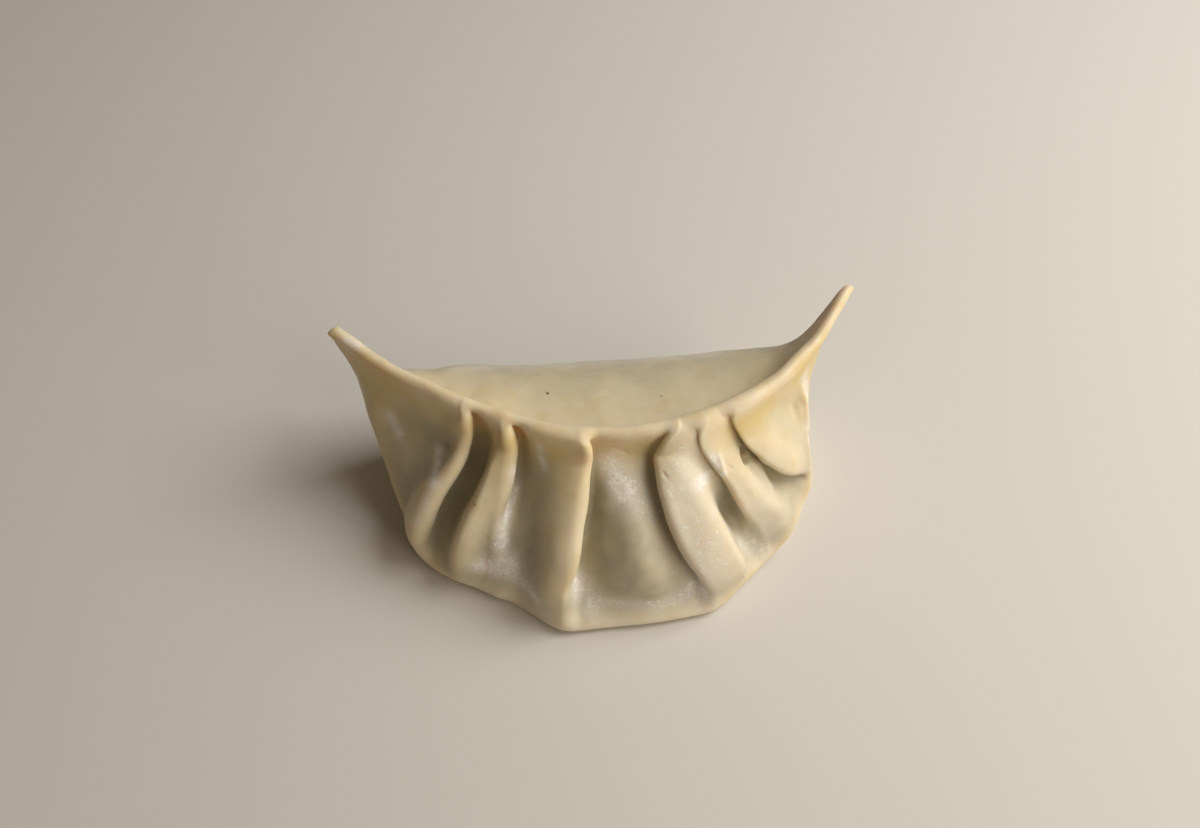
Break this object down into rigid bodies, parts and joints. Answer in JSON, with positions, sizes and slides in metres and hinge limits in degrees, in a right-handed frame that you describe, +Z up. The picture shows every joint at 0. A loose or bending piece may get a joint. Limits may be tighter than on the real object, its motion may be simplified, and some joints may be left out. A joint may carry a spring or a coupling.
{
  "type": "gyoza",
  "caption": "Raw hand-pleated half-moon dumpling: a pinched rim between two swept-back horns, leaning knife pleats down the front, a smooth bulging back and a flat underside.",
  "frame": {"origin": "centre of the bounding box's bottom, on the flat underside", "axes": "+X along the dumpling to the horn at the right of its pleated front, +Y to its smooth back, +Z up"},
  "size_m": [0.0834, 0.0454, 0.0301],
  "materials": {
    "raw_dough": "raw wheat dough, smooth and slightly translucent, dusted with flour"
  },
  "bodies": {
    "root": {"gyoza": "raw_dough"}
  },
  "joints": []
}
